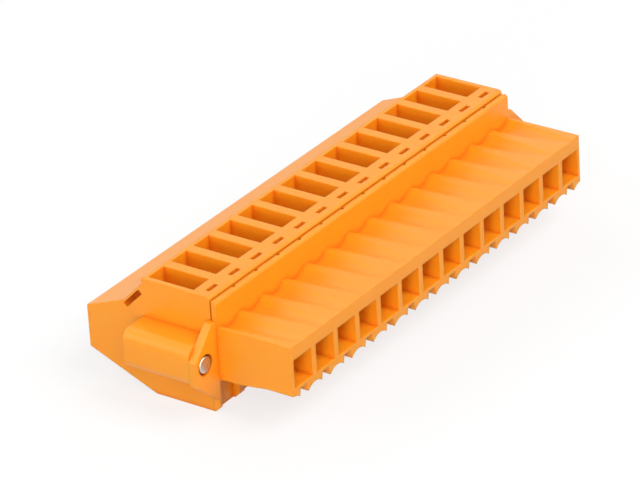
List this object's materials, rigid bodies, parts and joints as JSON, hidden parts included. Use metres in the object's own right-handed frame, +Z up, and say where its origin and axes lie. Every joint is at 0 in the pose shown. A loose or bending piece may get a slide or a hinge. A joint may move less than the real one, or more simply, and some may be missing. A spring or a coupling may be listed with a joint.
{
  "type": "pluggable terminal block",
  "caption": "Female screw-clamp plug for printed boards, square sockets in front, wire entries on top, a screw flange at each end",
  "frame": {"origin": "middle of the footprint, on the surface that the plug lies on", "axes": "+X runs along the row of poles, -Y is the mating side, +Z is up, the side of the wire entries"},
  "size_m": [0.0812, 0.034, 0.0174],
  "materials": {
    "orange_plastic": "satin moulded polyamide, orange",
    "bright_steel": "zinc-plated steel screws",
    "nickel_brass": "nickel-plated brass clamp cages",
    "tinned_bronze": "tin-plated spring bronze contacts"
  },
  "bodies": {
    "housing": {"front_housing": "orange_plastic", "rear_housing": "orange_plastic", "contact_01": "tinned_bronze", "contact_02": "tinned_bronze", "contact_03": "tinned_bronze", "contact_04": "tinned_bronze", "contact_05": "tinned_bronze", "contact_06": "tinned_bronze", "contact_07": "tinned_bronze", "contact_08": "tinned_bronze", "contact_09": "tinned_bronze", "contact_10": "tinned_bronze", "contact_11": "tinned_bronze", "contact_12": "tinned_bronze", "contact_13": "tinned_bronze", "contact_14": "tinned_bronze"},
    "clamp_screw_01": {"clamp_screw_01": "bright_steel"},
    "clamp_yoke_01": {"clamp_yoke_01": "nickel_brass"},
    "clamp_screw_02": {"clamp_screw_02": "bright_steel"},
    "clamp_yoke_02": {"clamp_yoke_02": "nickel_brass"},
    "clamp_screw_03": {"clamp_screw_03": "bright_steel"},
    "clamp_yoke_03": {"clamp_yoke_03": "nickel_brass"},
    "clamp_screw_04": {"clamp_screw_04": "bright_steel"},
    "clamp_yoke_04": {"clamp_yoke_04": "nickel_brass"},
    "clamp_screw_05": {"clamp_screw_05": "bright_steel"},
    "clamp_yoke_05": {"clamp_yoke_05": "nickel_brass"},
    "clamp_screw_06": {"clamp_screw_06": "bright_steel"},
    "clamp_yoke_06": {"clamp_yoke_06": "nickel_brass"},
    "clamp_screw_07": {"clamp_screw_07": "bright_steel"},
    "clamp_yoke_07": {"clamp_yoke_07": "nickel_brass"},
    "clamp_screw_08": {"clamp_screw_08": "bright_steel"},
    "clamp_yoke_08": {"clamp_yoke_08": "nickel_brass"},
    "clamp_screw_09": {"clamp_screw_09": "bright_steel"},
    "clamp_yoke_09": {"clamp_yoke_09": "nickel_brass"},
    "clamp_screw_10": {"clamp_screw_10": "bright_steel"},
    "clamp_yoke_10": {"clamp_yoke_10": "nickel_brass"},
    "clamp_screw_11": {"clamp_screw_11": "bright_steel"},
    "clamp_yoke_11": {"clamp_yoke_11": "nickel_brass"},
    "clamp_screw_12": {"clamp_screw_12": "bright_steel"},
    "clamp_yoke_12": {"clamp_yoke_12": "nickel_brass"},
    "clamp_screw_13": {"clamp_screw_13": "bright_steel"},
    "clamp_yoke_13": {"clamp_yoke_13": "nickel_brass"},
    "clamp_screw_14": {"clamp_screw_14": "bright_steel"},
    "clamp_yoke_14": {"clamp_yoke_14": "nickel_brass"},
    "flange_screw_left": {"flange_screw_left": "bright_steel"},
    "flange_screw_right": {"flange_screw_right": "bright_steel"}
  },
  "joints": [
    {"name": "clamp_screw_01_turn", "type": "hinge", "parent": "housing", "child": "clamp_screw_01", "pos_m": [-0.03302, 0.01505, 0.00765], "axis": [0, -1, 0], "range_deg": [0, 2016]},
    {"name": "clamp_yoke_01_slide", "type": "slide", "parent": "housing", "child": "clamp_yoke_01", "axis": [0, 1, 0], "range_m": [0, 0.0028]},
    {"name": "clamp_screw_02_turn", "type": "hinge", "parent": "housing", "child": "clamp_screw_02", "pos_m": [-0.02794, 0.01505, 0.00765], "axis": [0, -1, 0], "range_deg": [0, 2016]},
    {"name": "clamp_yoke_02_slide", "type": "slide", "parent": "housing", "child": "clamp_yoke_02", "axis": [0, 1, 0], "range_m": [0, 0.0028]},
    {"name": "clamp_screw_03_turn", "type": "hinge", "parent": "housing", "child": "clamp_screw_03", "pos_m": [-0.02286, 0.01505, 0.00765], "axis": [0, -1, 0], "range_deg": [0, 2016]},
    {"name": "clamp_yoke_03_slide", "type": "slide", "parent": "housing", "child": "clamp_yoke_03", "axis": [0, 1, 0], "range_m": [0, 0.0028]},
    {"name": "clamp_screw_04_turn", "type": "hinge", "parent": "housing", "child": "clamp_screw_04", "pos_m": [-0.01778, 0.01505, 0.00765], "axis": [0, -1, 0], "range_deg": [0, 2016]},
    {"name": "clamp_yoke_04_slide", "type": "slide", "parent": "housing", "child": "clamp_yoke_04", "axis": [0, 1, 0], "range_m": [0, 0.0028]},
    {"name": "clamp_screw_05_turn", "type": "hinge", "parent": "housing", "child": "clamp_screw_05", "pos_m": [-0.0127, 0.01505, 0.00765], "axis": [0, -1, 0], "range_deg": [0, 2016]},
    {"name": "clamp_yoke_05_slide", "type": "slide", "parent": "housing", "child": "clamp_yoke_05", "axis": [0, 1, 0], "range_m": [0, 0.0028]},
    {"name": "clamp_screw_06_turn", "type": "hinge", "parent": "housing", "child": "clamp_screw_06", "pos_m": [-0.00762, 0.01505, 0.00765], "axis": [0, -1, 0], "range_deg": [0, 2016]},
    {"name": "clamp_yoke_06_slide", "type": "slide", "parent": "housing", "child": "clamp_yoke_06", "axis": [0, 1, 0], "range_m": [0, 0.0028]},
    {"name": "clamp_screw_07_turn", "type": "hinge", "parent": "housing", "child": "clamp_screw_07", "pos_m": [-0.00254, 0.01505, 0.00765], "axis": [0, -1, 0], "range_deg": [0, 2016]},
    {"name": "clamp_yoke_07_slide", "type": "slide", "parent": "housing", "child": "clamp_yoke_07", "axis": [0, 1, 0], "range_m": [0, 0.0028]},
    {"name": "clamp_screw_08_turn", "type": "hinge", "parent": "housing", "child": "clamp_screw_08", "pos_m": [0.00254, 0.01505, 0.00765], "axis": [0, -1, 0], "range_deg": [0, 2016]},
    {"name": "clamp_yoke_08_slide", "type": "slide", "parent": "housing", "child": "clamp_yoke_08", "axis": [0, 1, 0], "range_m": [0, 0.0028]},
    {"name": "clamp_screw_09_turn", "type": "hinge", "parent": "housing", "child": "clamp_screw_09", "pos_m": [0.00762, 0.01505, 0.00765], "axis": [0, -1, 0], "range_deg": [0, 2016]},
    {"name": "clamp_yoke_09_slide", "type": "slide", "parent": "housing", "child": "clamp_yoke_09", "axis": [0, 1, 0], "range_m": [0, 0.0028]},
    {"name": "clamp_screw_10_turn", "type": "hinge", "parent": "housing", "child": "clamp_screw_10", "pos_m": [0.0127, 0.01505, 0.00765], "axis": [0, -1, 0], "range_deg": [0, 2016]},
    {"name": "clamp_yoke_10_slide", "type": "slide", "parent": "housing", "child": "clamp_yoke_10", "axis": [0, 1, 0], "range_m": [0, 0.0028]},
    {"name": "clamp_screw_11_turn", "type": "hinge", "parent": "housing", "child": "clamp_screw_11", "pos_m": [0.01778, 0.01505, 0.00765], "axis": [0, -1, 0], "range_deg": [0, 2016]},
    {"name": "clamp_yoke_11_slide", "type": "slide", "parent": "housing", "child": "clamp_yoke_11", "axis": [0, 1, 0], "range_m": [0, 0.0028]},
    {"name": "clamp_screw_12_turn", "type": "hinge", "parent": "housing", "child": "clamp_screw_12", "pos_m": [0.02286, 0.01505, 0.00765], "axis": [0, -1, 0], "range_deg": [0, 2016]},
    {"name": "clamp_yoke_12_slide", "type": "slide", "parent": "housing", "child": "clamp_yoke_12", "axis": [0, 1, 0], "range_m": [0, 0.0028]},
    {"name": "clamp_screw_13_turn", "type": "hinge", "parent": "housing", "child": "clamp_screw_13", "pos_m": [0.02794, 0.01505, 0.00765], "axis": [0, -1, 0], "range_deg": [0, 2016]},
    {"name": "clamp_yoke_13_slide", "type": "slide", "parent": "housing", "child": "clamp_yoke_13", "axis": [0, 1, 0], "range_m": [0, 0.0028]},
    {"name": "clamp_screw_14_turn", "type": "hinge", "parent": "housing", "child": "clamp_screw_14", "pos_m": [0.03302, 0.01505, 0.00765], "axis": [0, -1, 0], "range_deg": [0, 2016]},
    {"name": "clamp_yoke_14_slide", "type": "slide", "parent": "housing", "child": "clamp_yoke_14", "axis": [0, 1, 0], "range_m": [0, 0.0028]},
    {"name": "flange_screw_left_turn", "type": "hinge", "parent": "housing", "child": "flange_screw_left", "pos_m": [-0.03836, 0.00305, 0.0088], "axis": [0, -1, 0], "continuous": true},
    {"name": "flange_screw_right_turn", "type": "hinge", "parent": "housing", "child": "flange_screw_right", "pos_m": [0.03836, 0.00305, 0.0088], "axis": [0, -1, 0], "continuous": true}
  ],
  "couplings": [
    {"joint": "clamp_screw_01_turn", "follows": "clamp_yoke_01_slide", "rad_per_m": 12566},
    {"joint": "clamp_screw_02_turn", "follows": "clamp_yoke_02_slide", "rad_per_m": 12566},
    {"joint": "clamp_screw_03_turn", "follows": "clamp_yoke_03_slide", "rad_per_m": 12566},
    {"joint": "clamp_screw_04_turn", "follows": "clamp_yoke_04_slide", "rad_per_m": 12566},
    {"joint": "clamp_screw_05_turn", "follows": "clamp_yoke_05_slide", "rad_per_m": 12566},
    {"joint": "clamp_screw_06_turn", "follows": "clamp_yoke_06_slide", "rad_per_m": 12566},
    {"joint": "clamp_screw_07_turn", "follows": "clamp_yoke_07_slide", "rad_per_m": 12566},
    {"joint": "clamp_screw_08_turn", "follows": "clamp_yoke_08_slide", "rad_per_m": 12566},
    {"joint": "clamp_screw_09_turn", "follows": "clamp_yoke_09_slide", "rad_per_m": 12566},
    {"joint": "clamp_screw_10_turn", "follows": "clamp_yoke_10_slide", "rad_per_m": 12566},
    {"joint": "clamp_screw_11_turn", "follows": "clamp_yoke_11_slide", "rad_per_m": 12566},
    {"joint": "clamp_screw_12_turn", "follows": "clamp_yoke_12_slide", "rad_per_m": 12566},
    {"joint": "clamp_screw_13_turn", "follows": "clamp_yoke_13_slide", "rad_per_m": 12566},
    {"joint": "clamp_screw_14_turn", "follows": "clamp_yoke_14_slide", "rad_per_m": 12566}
  ]
}
